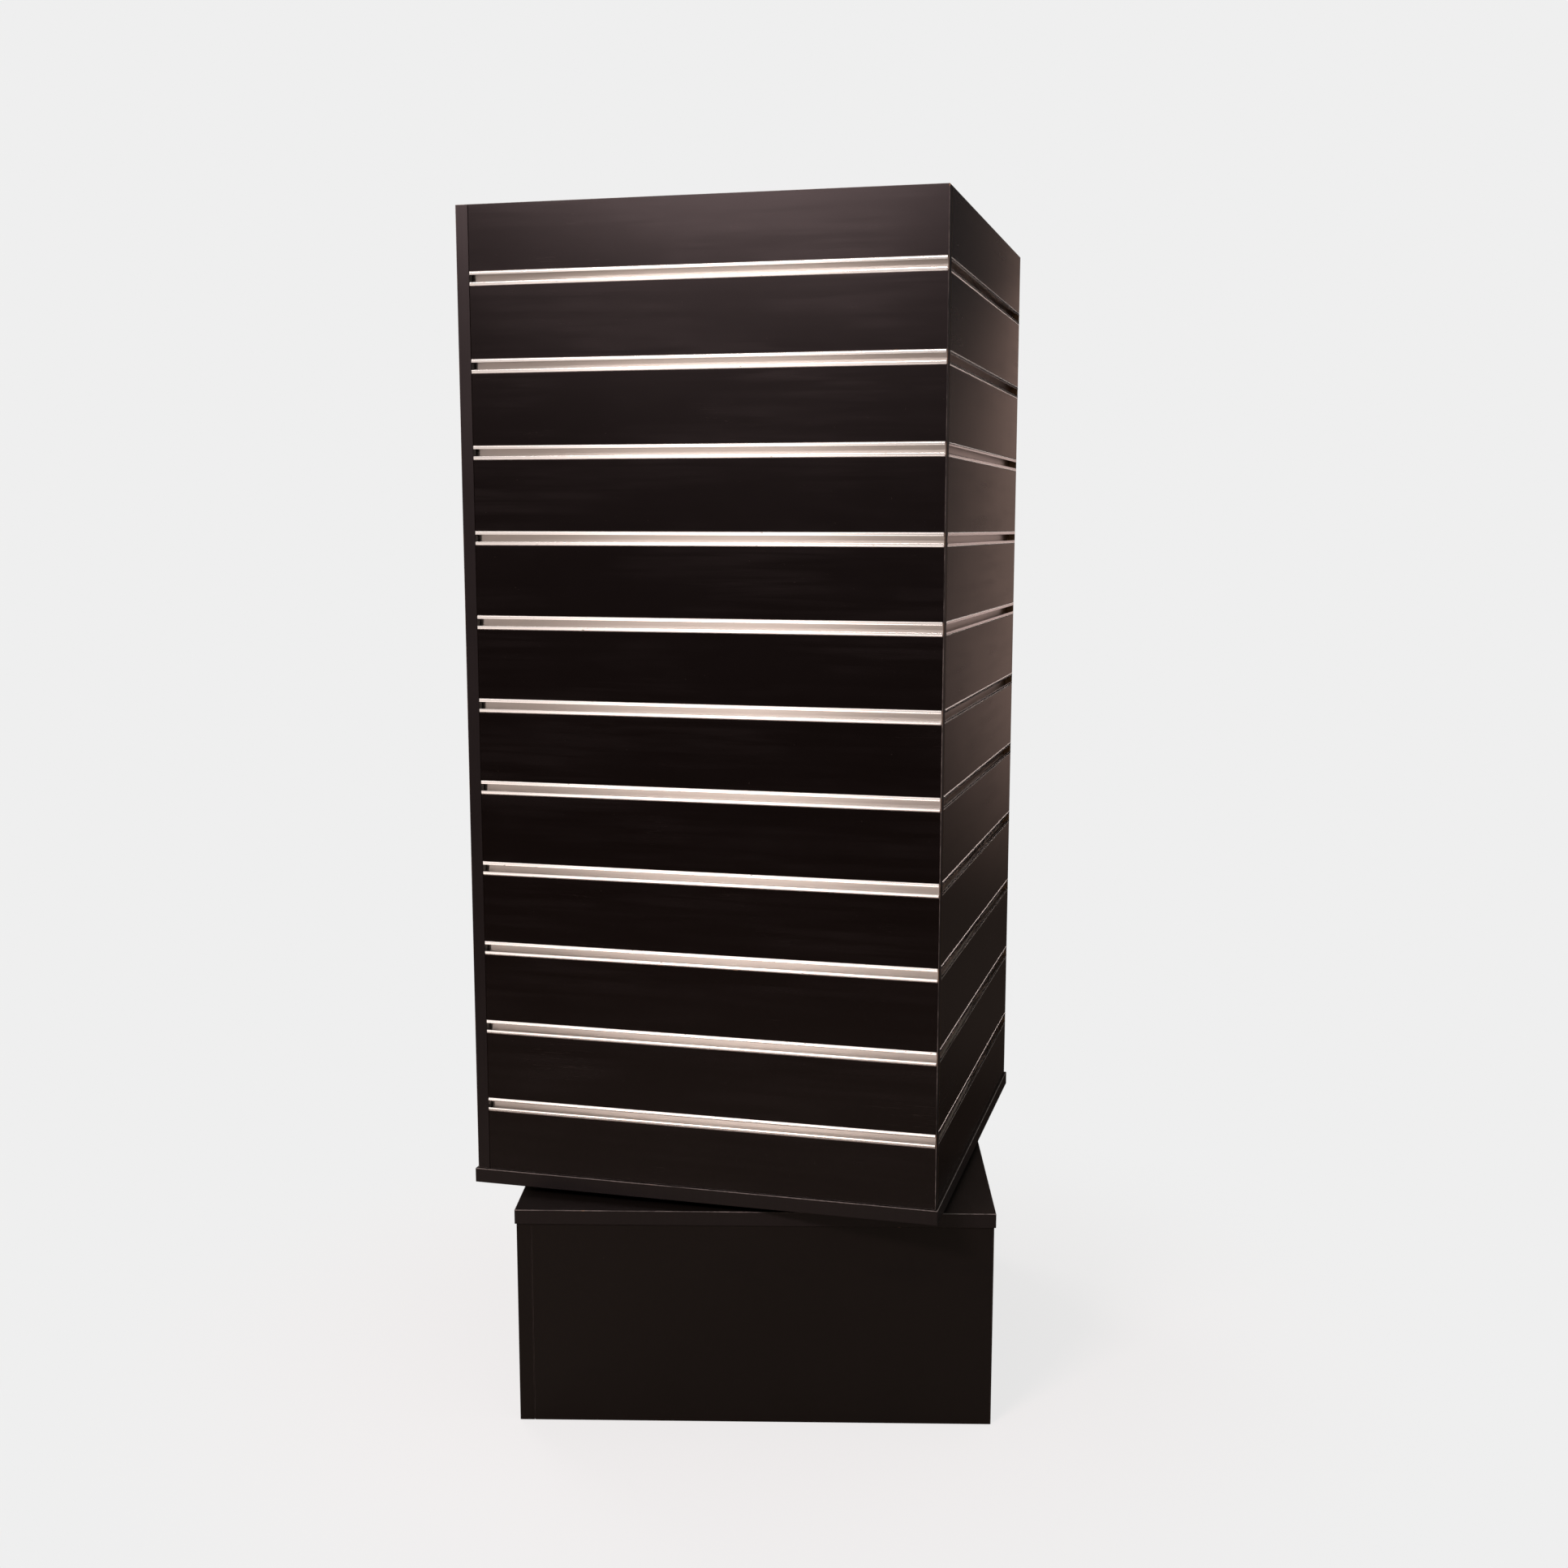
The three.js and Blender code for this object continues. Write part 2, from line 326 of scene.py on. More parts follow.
def slat_laminate():
    """Satin black laminate, with lengthwise wiping marks, a few hair scratches and dust."""
    f = new_finish("slat_laminate")
    place = f.own_place()
    patches = f.noise(f.scaled(place, (1.6, 1.6, 5.0)), 2.4, roughness=0.55)
    wiped = f.noise(f.scaled(place, (1.6, 1.6, 30.0)), 3.0, roughness=0.55, distortion=0.4)
    marks = f.ramp(patches, 0.36, 0.64) * f.ramp(wiped, 0.34, 0.68)
    cloud = f.noise(f.scaled(place, (1.0, 1.0, 1.7)), 7.0, detail=4.0, roughness=0.6)
    grain = f.noise(place, 900.0, detail=2.0)
    drawn_out = f.scaled(place, (5.0, 5.0, 260.0), shift=(3.1, 0.0, 7.7))
    strokes = f.noise(drawn_out, 1.6, detail=2.0, roughness=0.4, distortion=0.15)
    spots = f.noise(f.scaled(place, (4.0, 4.0, 9.0), shift=(11.0, 0.0, 2.0)), 1.5, detail=2.0)
    scratch = f.ramp(abs(strokes - 0.5), 0.0035, 0.0010) * f.ramp(spots, 0.60, 0.70)
    dust = dust_specks(f, place, 420.0)
    light = marks * 0.80 + cloud * 0.25
    body = f.blend(light, (0.0037, 0.0021, 0.0017, 1), (0.0105, 0.0084, 0.0080, 1))
    return f.principled({
        "Base Color": f.blend(scratch * 0.55 + dust * 0.35, body, (0.085, 0.075, 0.068, 1)),
        "Roughness": 0.238 + marks * 0.022 + cloud * 0.03,
        "IOR": PLASTIC_IOR,
        "Normal": f.bump(grain * 0.4 + cloud * 0.6, 0.02, 0.4 * MM),
    })


def corner_chip(f, place):
    """Where the front panel's upper right corner is knocked off."""
    corner = (panel_high.x, panel_low.y, panel_high.z)
    inputs = {0: place, 1: corner}
    away = f.field("ShaderNodeVectorMath", {"operation": "DISTANCE"}, inputs, "Value")
    return f.ramp(away, CHIP_END, CHIP_FULL)


def edge_band():
    """Black plastic edge band: a shade greyer and duller than the laminate."""
    f = new_finish("edge_band")
    place = f.own_place()
    drawn = f.noise(f.scaled(place, (60.0, 60.0, 2.0)), 6.0)
    cloud = f.noise(place, 9.0)
    light = drawn * 0.5 + cloud * 0.5
    band = f.blend(light, (0.0112, 0.0100, 0.0098, 1), (0.0212, 0.0190, 0.0190, 1))
    return f.principled({
        "Base Color": f.blend(corner_chip(f, place), band, BARE),
        "Roughness": 0.30 + cloud * 0.12,
        "IOR": PLASTIC_IOR,
        "Normal": f.bump(drawn, 0.08, 0.2 * MM),
    })


def bare_groove_ends(f, place):
    """Where the board shows on a band's arris, at the ends of the grooves."""
    height = f.axis(place, "Z")
    rows = (first_groove - height) / groove_pitch + 0.5
    off = abs(rows - rows.whole() - 0.5) * groove_pitch
    mouths = f.ramp(off, GROOVE_MOUTH * MOUTH_GONE, GROOVE_MOUTH * MOUTH_FULL)
    return mouths * f.ramp(height, GROOVE_ENDS_GONE, GROOVE_ENDS_FULL) * GROOVE_ENDS_SHARE


def worn_edge(name, spread, light, at_grooves=False):
    """Arris of a board, lighter grey in stretches: partly wear and partly a painted highlight along the
    edge, with the board showing in a few spots. A panel's also shows the board where the grooves end and at
    the front panel's upper corner."""
    f = new_finish(name)
    place = f.own_place()
    stretch = f.ramp(f.noise(place, 9.0, detail=4.0, roughness=0.65), *spread)
    fine = f.ramp(f.noise(place, 160.0, roughness=0.6), 0.30, 0.62)
    spots = f.noise(f.scaled(place, (1.0, 1.0, 1.0), shift=(5.0, 3.0, 1.0)), 70.0, detail=2.0)
    bare = f.ramp(spots, 0.70, 0.76)
    if at_grooves:
        bare = bare.most(bare_groove_ends(f, place)).most(corner_chip(f, place))
    # The lighter grey along the arris is wear and painted highlight in one.
    wear_and_highlight = f.blend(stretch * (0.35 + fine * 0.65), (0.020, 0.018, 0.017, 1), light)
    return f.principled({
        "Base Color": f.blend(bare, wear_and_highlight, BARE),
        "Roughness": 0.42 + fine * 0.2,
        "Normal": f.bump(fine, 0.25, 0.2 * MM),
    })


def raw_board():
    """Cut fibreboard: brown, felted and dull."""
    f = new_finish("raw_board")
    place = f.own_place()
    fibre = f.noise(place, 700.0, detail=4.0, roughness=0.7)
    cloud = f.noise(place, 30.0)
    light = fibre * 0.6 + cloud * 0.4
    return f.principled({
        "Base Color": f.blend(light, (0.19, 0.105, 0.052, 1), (0.36, 0.23, 0.13, 1)),
        "Roughness": 0.85 + fibre * 0.1,
        "Normal": f.bump(fibre, 0.5, 0.3 * MM),
    })


def board_laminate():
    """Black laminate of the boards under the tower: duller, with faint stains."""
    f = new_finish("board_laminate")
    place = f.own_place()
    cloud = f.noise(place, 5.0, detail=4.0, roughness=0.6)
    spots = f.noise(f.scaled(place, (1.0, 1.0, 2.4), shift=(2.0, 5.0, 0.0)), 3.4, roughness=0.6)
    stains = f.ramp(spots, 0.60, 0.72)
    grain = f.noise(place, 800.0, detail=2.0)
    dust = dust_specks(f, place, 380.0)
    body = f.blend(cloud, (0.0058, 0.0046, 0.0038, 1), (0.0098, 0.0081, 0.0070, 1))
    stained = f.blend(stains * 0.5, body, (0.0040, 0.0032, 0.0030, 1))
    return f.principled({
        "Base Color": f.blend(dust * 0.3, stained, (0.08, 0.072, 0.066, 1)),
        "Roughness": 0.30 + cloud * 0.10 + stains * 0.08,
        "IOR": PLASTIC_IOR,
        "Normal": f.bump(grain * 0.5 + cloud * 0.5, 0.03, 0.4 * MM),
    })


def drawn_lines(f, place):
    """Fine lines along a channel, left by the die."""
    return f.noise(f.scaled(place, (1.5, 60.0, 900.0)), 1.0, detail=4.0, roughness=0.7)


def lip_aluminium(name, roughness):
    """Aluminium of the channels' lips, burnished by hooks that slide along them, and lighter than the rest
    of the channel, whose darker colour is partly painted shade.
    """
    f = new_finish(name)
    place = f.own_place()
    drawn = drawn_lines(f, place)
    cloud = f.noise(place, 9.0)
    nicks = f.ramp(f.noise(f.scaled(place, (160.0, 160.0, 500.0)), 1.0, detail=1.0), 0.74, 0.80)
    bright = f.blend(drawn, (0.90, 0.90, 0.89, 1), (0.97, 0.97, 0.96, 1))
    return f.principled({
        "Base Color": f.blend(nicks * 0.8, bright, (0.30, 0.27, 0.25, 1)),
        "Metallic": 1.0,
        "Roughness": roughness + cloud * 0.05 + nicks * 0.2,
        "Normal": f.bump(drawn, 0.08, 0.05 * MM),
    })


def groove_aluminium():
    """Satin extruded aluminium, drawn lengthwise. Its base colour is darker than the lips': partly a duller
    tone of its own and partly painted shade of the groove.
    """
    f = new_finish("groove_aluminium")
    place = f.own_place()
    drawn = drawn_lines(f, place)
    broad = f.noise(f.scaled(place, (2.0, 20.0, 160.0), shift=(0.0, 4.0, 2.0)), 1.0, detail=2.0)
    cloud = f.noise(place, 6.0)
    light = drawn * 0.5 + broad * 0.5
    return f.principled({
        # Darker than the lips: partly the web's own duller tone, partly painted shade of the groove.
        "Base Color": f.blend(light, (0.61, 0.565, 0.53, 1), (0.66, 0.61, 0.575, 1)),
        "Metallic": 1.0,
        "Roughness": 0.31 + drawn * 0.02 + cloud * 0.02,
        "Anisotropic": 1.0,
        "Anisotropic Rotation": 0.25,
        "Normal": f.bump(drawn, 0.02, 0.02 * MM),
    })


def zinc_steel():
    """Pressed sheet with a zinc coat."""
    f = new_finish("zinc_steel")
    place = f.object_place()
    spangle = f.field("ShaderNodeTexVoronoi", None, {"Vector": place, "Scale": 160.0}, "Distance")
    cloud = f.noise(place, 40.0)
    light = spangle * 0.6 + cloud * 0.4
    return f.principled({
        "Base Color": f.blend(light, (0.42, 0.43, 0.45, 1), (0.66, 0.67, 0.69, 1)),
        "Metallic": 1.0,
        "Roughness": 0.34 + cloud * 0.14,
    })


def bearing_steel():
    """Polished steel of the balls and their cage."""
    f = new_finish("bearing_steel")
    film = f.noise(f.object_place(), 120.0)
    return f.principled({
        "Base Color": f.blend(film, (0.55, 0.55, 0.56, 1), (0.74, 0.74, 0.75, 1)),
        "Metallic": 1.0,
        "Roughness": 0.12 + film * 0.12,
    })


LAMINATE = slat_laminate()
BANDING = edge_band()
RAW = raw_board()
BOARD = board_laminate()
ALUMINIUM_DULL_AND_SHADED = groove_aluminium()
ZINC = zinc_steel()
BEARING = bearing_steel()
LIP = lip_aluminium("lip_aluminium", 0.19)
LIP_RIM = lip_aluminium("lip_rim_aluminium", 0.48)
# Arris finishes: the lighter grey of the first two is partly wear and partly painted edge highlight.
WORN_AND_HIGHLIT = worn_edge("worn_edge", (0.26, 0.52), (0.250, 0.240, 0.225, 1))
WORN_AND_HIGHLIT_BAND = worn_edge("worn_band", (0.34, 0.58), (0.430, 0.395, 0.365, 1), at_grooves=True)
WORN_JOINT = worn_edge("worn_joint", (0.30, 0.60), (0.075, 0.067, 0.060, 1))


# Mesh kit

# Material slots of a board from slab(): its faces, its rounded edges, and one more finish.
FACE_SLOT = 0
EDGE_SLOT = 1
MORE_SLOT = 2


def put(name, data):
    """An object with this mesh, lamp or camera, in the scene."""
    made = bpy.data.objects.new(name, data)
    bpy.context.scene.collection.objects.link(made)
    return made


def mesh_of(shape, name, finishes):
    """A bmesh as a mesh with its finishes. The bmesh is freed."""
    mesh = bpy.data.meshes.new(name)
    shape.to_mesh(mesh)
    shape.free()
    for finish in finishes:
        mesh.materials.append(finish)
    return mesh


def arc(middle, radius, start, end, steps):
    """Points of an arc in the plane of a section."""
    angles = [start + (end - start) * step / steps for step in range(steps + 1)]
    return [(middle[0] + radius * math.cos(a), middle[1] + radius * math.sin(a)) for a in angles]


def rounded(corners):
    """A closed outline from (x, y, radius, finish) corners. Each side takes the finish of its first corner,
    and a rounded corner takes the worn and highlit one. Returns points and the finish of each side."""
    points, finishes = [], []
    for index, (x, y, radius, finish) in enumerate(corners):
        here = Vector((x, y))
        before = (Vector(corners[index - 1][:2]) - here).normalized()
        after = (Vector(corners[(index + 1) % len(corners)][:2]) - here).normalized()
        if not radius:
            points.append((x, y))
            finishes.append(finish)
            continue
        middle = here + (before + after) * radius
        first, last = here + before * radius - middle, here + after * radius - middle
        start = math.atan2(first.y, first.x)
        sweep = (math.atan2(last.y, last.x) - start + math.pi) % (2 * math.pi) - math.pi
        points += arc(middle, radius, start, start + sweep, ROUND_STEPS)
        finishes += [WORN_AND_HIGHLIT] * ROUND_STEPS + [finish]
    return points, finishes


def extruded(name, outline, finishes, left, right, ends):
    """A front-place piece: an outline of (depth behind the front, height), run from left to right."""
    mesh = bpy.data.meshes.new(name)
    count = len(outline)
    points = [(x, front + depth, height) for x in (left, right) for depth, height in outline]
    faces = [(i, (i + 1) % count, count + (i + 1) % count, count + i) for i in range(count)]
    faces += [tuple(reversed(range(count))), tuple(range(count, 2 * count))]
    mesh.from_pydata(points, [], faces)
    used = list(dict.fromkeys([*finishes, ends]))
    for finish in used:
        mesh.materials.append(finish)
    for face, finish in zip(mesh.polygons, [*finishes, ends, ends]):
        face.material_index = used.index(finish)
    face_outwards(mesh)
    return mesh


def face_outwards(mesh):
    """Turns a closed mesh's faces to point out of it."""
    shape = bmesh.new()
    shape.from_mesh(mesh)
    bmesh.ops.recalc_face_normals(shape, faces=shape.faces)
    shape.to_mesh(mesh)
    shape.free()


def slab(name, low, high, finish, edge=WORN_AND_HIGHLIT, radius=EDGE_ROUND, steps=ROUND_STEPS, round_end=False):
    """A board between two corners. All its edges, or just those of its high x end, are rounded and take
    the edge finish."""
    shape = bmesh.new()
    bmesh.ops.create_cube(shape, size=1.0)
    size, middle = Vector(high) - Vector(low), (Vector(high) + Vector(low)) / 2
    stretch = Matrix.Translation(middle) @ Matrix.Diagonal((*size, 1))
    bmesh.ops.transform(shape, matrix=stretch, verts=shape.verts)
    edges = [e for e in shape.edges if not round_end or all(v.co.x > middle.x for v in e.verts)]
    bmesh.ops.bevel(shape, geom=edges, offset=radius, offset_type="OFFSET", segments=steps,
                    profile=0.5, affect="EDGES", material=EDGE_SLOT)
    return mesh_of(shape, name, (finish, edge))


def joined(name, meshes):
    """Several meshes as one, with their finishes."""
    shape = bmesh.new()
    used = list(dict.fromkeys(m for mesh in meshes for m in mesh.materials))
    for mesh in meshes:
        first = len(shape.faces)
        shape.from_mesh(mesh)
        shape.faces.ensure_lookup_table()
        for face in shape.faces[first:]:
            face.material_index = used.index(mesh.materials[face.material_index])
    return mesh_of(shape, name, used)


def set_down(name, mesh, body, turn=0.0, shift=0.0, nodes=()):
    """A finished piece. Its points keep where they lay as own_place, the mesh is turned into place, and the
    piece rides on a body."""
    mesh = mesh.copy()
    own = mesh.attributes.new("own_place", "FLOAT_VECTOR", "POINT")
    values = [value for v in mesh.vertices for value in (v.co.x + shift, v.co.y, v.co.z)]
    own.data.foreach_set("vector", values)
    mesh.transform(Matrix.Rotation(turn, 4, "Z"))
    mesh.update()
    piece = put(name, mesh)
    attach(piece, body)
    if nodes:
        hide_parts(*nodes)


# Geometry node kit

class Pattern:
    """A geometry node tree with named inputs."""

    def __init__(self, name, inputs):
        self.tree = bpy.data.node_groups.new(name, "GeometryNodeTree")
        sockets = self.tree.interface
        sockets.new_socket("Geometry", in_out="OUTPUT", socket_type="NodeSocketGeometry")
        self.sockets = {label: sockets.new_socket(label, in_out="INPUT", socket_type=kind)
                        for label, kind in inputs.items()}
        self.given = self.tree.nodes.new("NodeGroupInput").outputs

    def node(self, kind, settings=None, inputs=None):
        return add_node(self.tree, kind, settings, inputs)

    def copies(self, points):
        """The item at every point."""
        item = self.node("GeometryNodeObjectInfo", None, {"Object": self.given["Item"]})
        inputs = {"Points": points, "Instance": item.outputs["Geometry"]}
        return self.node("GeometryNodeInstanceOnPoints", None, inputs).outputs[0]

    def finish_with(self, instances, finish, marked=()):
        """Ends the tree. Faces marked by a named attribute may take a finish of their own."""
        solid = self.node("GeometryNodeRealizeInstances", None, {"Geometry": instances})
        inputs = {"Geometry": solid.outputs[0], "Material": finish}
        coated = self.node("GeometryNodeSetMaterial", None, inputs)
        for name, other in marked:
            mark = self.node("GeometryNodeInputNamedAttribute", {"data_type": "BOOLEAN"}, {"Name": name})
            inputs = {"Geometry": coated.outputs[0], "Selection": mark.outputs[0], "Material": other}
            coated = self.node("GeometryNodeSetMaterial", None, inputs)
        self.node("NodeGroupOutput", None, {0: coated.outputs[0]})

    def made(self, name, values):
        """The tree's result for these input values, as a plain mesh."""
        holder = put(name, bpy.data.meshes.new(name))
        pattern = holder.modifiers.new("pattern", "NODES")
        pattern.node_group = self.tree
        for label, value in values.items():
            pattern[self.sockets[label].identifier] = value
        holder.update_tag()
        return evaluated(holder)


def evaluated(holder):
    """What an object's modifiers make of it, as a plain mesh. The object is removed."""
    graph = bpy.context.evaluated_depsgraph_get()
    mesh = bpy.data.meshes.new_from_object(holder.evaluated_get(graph), depsgraph=graph)
    bpy.data.objects.remove(holder)
    return mesh


def rows_pattern():
    """Copies of an item, one below the other."""
    p = Pattern("rows_of_channels", {
        "Item": "NodeSocketObject",
        "Rows": "NodeSocketInt",
        "Pitch": "NodeSocketFloat",
        "Top": "NodeSocketFloat",
        "Finish": "NodeSocketMaterial",
        "Lip finish": "NodeSocketMaterial",
        "Lip edge finish": "NodeSocketMaterial",
    })
    down = p.node("ShaderNodeMath", {"operation": "MULTIPLY"}, {0: p.given["Pitch"], 1: -1.0})
    step = p.node("ShaderNodeCombineXYZ", None, {"Z": down.outputs[0]})
    start = p.node("ShaderNodeCombineXYZ", None, {"Z": p.given["Top"]})
    line = p.node("GeometryNodeMeshLine", None, {
        "Count": p.given["Rows"], "Start Location": start.outputs[0], "Offset": step.outputs[0]})
    p.finish_with(p.copies(line.outputs[0]), p.given["Finish"], [
        ("is_lip", p.given["Lip finish"]), ("is_lip_edge", p.given["Lip edge finish"])])
    return p


def ring_pattern():
    """Copies of an item round the upright axis."""
    p = Pattern("ring_of_items", {
        "Item": "NodeSocketObject",
        "Count": "NodeSocketInt",
        "Radius": "NodeSocketFloat",
        "Height": "NodeSocketFloat",
        "Finish": "NodeSocketMaterial",
    })
    circle = p.node("GeometryNodeMeshCircle", None, {
        "Vertices": p.given["Count"], "Radius": p.given["Radius"]})
    lift = p.node("ShaderNodeCombineXYZ", None, {"Z": p.given["Height"]})
    raised = p.node("GeometryNodeSetPosition", None, {
        "Geometry": circle.outputs[0], "Offset": lift.outputs[0]})
    p.finish_with(p.copies(raised.outputs[0]), p.given["Finish"])
    return p


# Tower

def panel_outline():
    """Section of a panel: eleven grooves with a mouth and a taller cavity, rounded where it shows."""
    bottom, top = panel_low.z, panel_high.z
    thickness = panel_high.y - panel_low.y
    mouth, cavity = GROOVE_MOUTH / 2, GROOVE_CAVITY / 2
    corners = [(0.0, bottom, EDGE_ROUND, LAMINATE)]
    for middle in reversed(grooves):
        corners += [
            (0.0, middle - mouth, MOUTH_ROUND, RAW),
            (GROOVE_LIP, middle - mouth, 0.0, RAW),
            (GROOVE_LIP, middle - cavity, 0.0, RAW),
            (GROOVE_DEPTH, middle - cavity, 0.0, RAW),
            (GROOVE_DEPTH, middle + cavity, 0.0, RAW),
            (GROOVE_LIP, middle + cavity, 0.0, RAW),
            (GROOVE_LIP, middle + mouth, 0.0, RAW),
            (0.0, middle + mouth, MOUTH_ROUND, LAMINATE),
        ]
    corners += [
        (0.0, top, EDGE_ROUND, BANDING),
        (thickness, top, EDGE_ROUND, BOARD),
        (thickness, bottom, EDGE_ROUND, BANDING),
    ]
    return rounded(corners)


def panel_band():
    """Edge band on a panel's showing end: worn along the slat face, plain along the joint, and raw where
    it is glued on."""
    low = Vector((band_inside, panel_low.y, panel_low.z))
    mesh = slab("panel_band", low, panel_high, BANDING, WORN_AND_HIGHLIT_BAND, BAND_ROUND, BAND_STEPS, round_end=True)
    mesh.materials.append(RAW)
    for face in mesh.polygons:
        if face.normal.x < -ALONG:
            face.material_index = MORE_SLOT
        elif face.center.y > panel_high.y - BAND:
            face.material_index = FACE_SLOT
    return mesh


def channel_outline():
    """Section of a channel about its middle height: crowned lips, throat, wings and a flat web. Also
    returns how deep the back of its lips lies."""
    outer, wing = GROOVE_MOUTH / 2 - FIT, GROOVE_CAVITY / 2 - FIT
    shoulder, back = GROOVE_LIP + FIT, GROOVE_DEPTH - FIT
    web = back - CHANNEL_WALL
    mouth = outer - CHANNEL_LIP
    lip_back = CHANNEL_WALL - channel_proud
    lip_end = CHANNEL_CROWN - channel_proud
    nose_height = mouth + CHANNEL_NOSE
    rim_height = outer - LIP_EDGE

    half_chord = (rim_height - nose_height) / 2
    radius = (half_chord ** 2 + CHANNEL_CROWN ** 2) / (2 * CHANNEL_CROWN)
    lean = math.asin(half_chord / radius)
    crown = arc((radius - channel_proud, (nose_height + rim_height) / 2), radius,
                math.pi + lean, math.pi - lean, CROWN_STEPS)
    nose = arc((lip_end + CHANNEL_NOSE, nose_height), CHANNEL_NOSE, -math.pi / 2, -math.pi, NOSE_STEPS)
    bend = LIP_EDGE / math.sin(LIP_EDGE_LEAN)
    rim = arc((lip_end + bend, rim_height), bend, math.pi, math.pi - LIP_EDGE_LEAN, RIM_STEPS)
    half = [
        (web, wing - CHANNEL_WALL),
        (shoulder + CHANNEL_WALL, wing - CHANNEL_WALL),
        (shoulder + CHANNEL_WALL, outer - CHANNEL_WALL),
        (lip_back, outer - CHANNEL_WALL),
        (lip_back, nose_height),
        *nose[:-1],
        *crown,
        *rim[1:],
        (shoulder, outer),
        (shoulder, wing),
        (back, wing),
    ]
    return half + [(depth, -height) for depth, height in reversed(half)], lip_back


def side_channels():
    """The channels of one side, in the front place."""
    outline, lip_back = channel_outline()
    mesh = extruded("channel_blank", outline, [ALUMINIUM_DULL_AND_SHADED] * len(outline), panel_low.x + FIT,
                    band_inside - CHANNEL_END_GAP, ALUMINIUM_DULL_AND_SHADED)
    reach = front + lip_back + FIT
    edge = GROOVE_MOUTH / 2 - FIT - LIP_EDGE
    lip = [face.center.y < reach and abs(face.normal.x) < ACROSS for face in mesh.polygons]
    lip_edge = [on and abs(face.center.z) > edge and abs(face.normal.z) < ALONG
                for on, face in zip(lip, mesh.polygons)]
    for name, values in (("is_lip", lip), ("is_lip_edge", lip_edge)):
        mesh.attributes.new(name, "BOOLEAN", "FACE").data.foreach_set("value", values)
    blank = put("channel_blank", mesh)
    mesh = rows_pattern().made("channels", {
        "Item": blank,
        "Rows": ROWS,
        "Pitch": groove_pitch,
        "Top": first_groove,
        "Finish": ALUMINIUM_DULL_AND_SHADED,
        "Lip finish": LIP,
        "Lip edge finish": LIP_RIM,
    })
    bpy.data.objects.remove(blank)
    return mesh


def banded_board(name, low, high):
    """A square board with laminated faces, and a band round its sides whose upper edges take the lighter
    worn finish, partly a painted highlight, while its lower edges stay plain."""
    mesh = slab(name, low, high, BOARD, WORN_AND_HIGHLIT, BOARD_ROUND, BAND_STEPS)
    mesh.materials.append(BANDING)
    for face in mesh.polygons:
        flat = face.material_index == FACE_SLOT
        side = flat and abs(face.normal.z) < ACROSS
        # Only the upper edges keep the lighter finish: wear plus a painted highlight where light falls on
        # them.
        lower_edge = not flat and face.normal.z < BARELY
        if side or lower_edge:
            face.material_index = MORE_SLOT
    return mesh


def build_tower():
    """Four panels with their bands and channels, the top board and the turntable board."""
    outline, finishes = panel_outline()
    board = extruded("panel_board", outline, finishes, panel_low.x + PANEL_JOINT, band_inside, RAW)
    band, lining = panel_band(), side_channels()
    for index, side in enumerate(SIDES):
        turn, shift = index * QUARTER, index * SIDE_SHIFT
        node = f"slat_panel_{side}"
        set_down(f"panel_board_{side}", board, "tower", turn, shift, [node])
        set_down(f"panel_band_{side}", band, "tower", turn, shift, [node])
        set_down(f"groove_channels_{side}", lining, "tower", turn, shift,
                 [f"groove_insert_{side}_{row + 1:02d}" for row in range(ROWS)])
    top = slab("top_board", *own_box("top_board"), BOARD)
    set_down("top_board_finished", top, "tower", 0.0, TOP_BOARD_SHIFT, ["top_board"])
    turntable = banded_board("turntable", *own_box("turntable_board"))
    set_down("turntable_board_finished", turntable, "tower", 0.0, TURNTABLE_SHIFT,
             ["turntable_board"])


# Base

def build_base():
    """Four side boards, each with a band on its showing end, and the top and bottom boards."""
    for index, side in enumerate(SIDES):
        turn = index * QUARTER + BASE_TURN
        low, high = own_box(f"base_side_{side}", turn)
        band_low = Vector((high.x - BAND, low.y, low.z))
        board = slab("base_board", low, (high.x - BAND, high.y, high.z), BOARD, WORN_JOINT)
        band = slab("base_band", band_low, high, BOARD, WORN_JOINT, BASE_BAND_ROUND)
        set_down(f"base_board_{side}", joined("base_board", [board, band]), "base", turn,
                 BASE_SHIFT + index * SIDE_SHIFT, [f"base_side_{side}"])
    top = banded_board("base_top", *own_box("base_top_board", BASE_TURN))
    set_down("base_top_finished", top, "base", BASE_TURN, BASE_TOP_SHIFT,
             ["base_top_board"])
    bottom = slab("base_bottom", *own_box("base_bottom_board", BASE_TURN), BOARD)
    set_down("base_bottom_finished", bottom, "base", BASE_TURN, BASE_BOTTOM_SHIFT,
             ["base_bottom_board"])


# Bearing

def lathed(name, section, steps, finish):
    """A closed ring or a disc from a section of (radius, height)."""
    shape = bmesh.new()
    rings = []
    for step in range(steps):
        angle = 2 * math.pi * step / steps
        rings.append([shape.verts.new((r * math.cos(angle), r * math.sin(angle), z)) for r, z in section])
    count = len(section)
    for step, ring in enumerate(rings):
        after = rings[(step + 1) % steps]
        for i in range(count):
            j = (i + 1) % count
            shape.faces.new((ring[i], ring[j], after[j], after[i]))
    bmesh.ops.remove_doubles(shape, verts=shape.verts, dist=SAME_POINT)
    bmesh.ops.recalc_face_normals(shape, faces=shape.faces)
    return mesh_of(shape, name, [finish])


def ring_of(name, item, count, radius, height, finish):
    """The item's mesh, repeated in a ring."""
    blank = put(name, item)
    mesh = ring_pattern().made(name, {
        "Item": blank, "Count": count, "Radius": radius, "Height": height, "Finish": finish})
    bpy.data.objects.remove(blank)
    return mesh


def screw_head():
    """Low domed head with a round socket, standing on height 0."""
    section = [(SCREW_HEAD * across, SCREW_RISE * up) for across, up in SCREW_OUTLINE]
    section += [(SCREW_SOCKET, SCREW_RISE), (SCREW_SOCKET, SCREW_RISE * SOCKET_FLOOR)]
    return lathed("screw_head", section, SCREW_STEPS, ZINC)


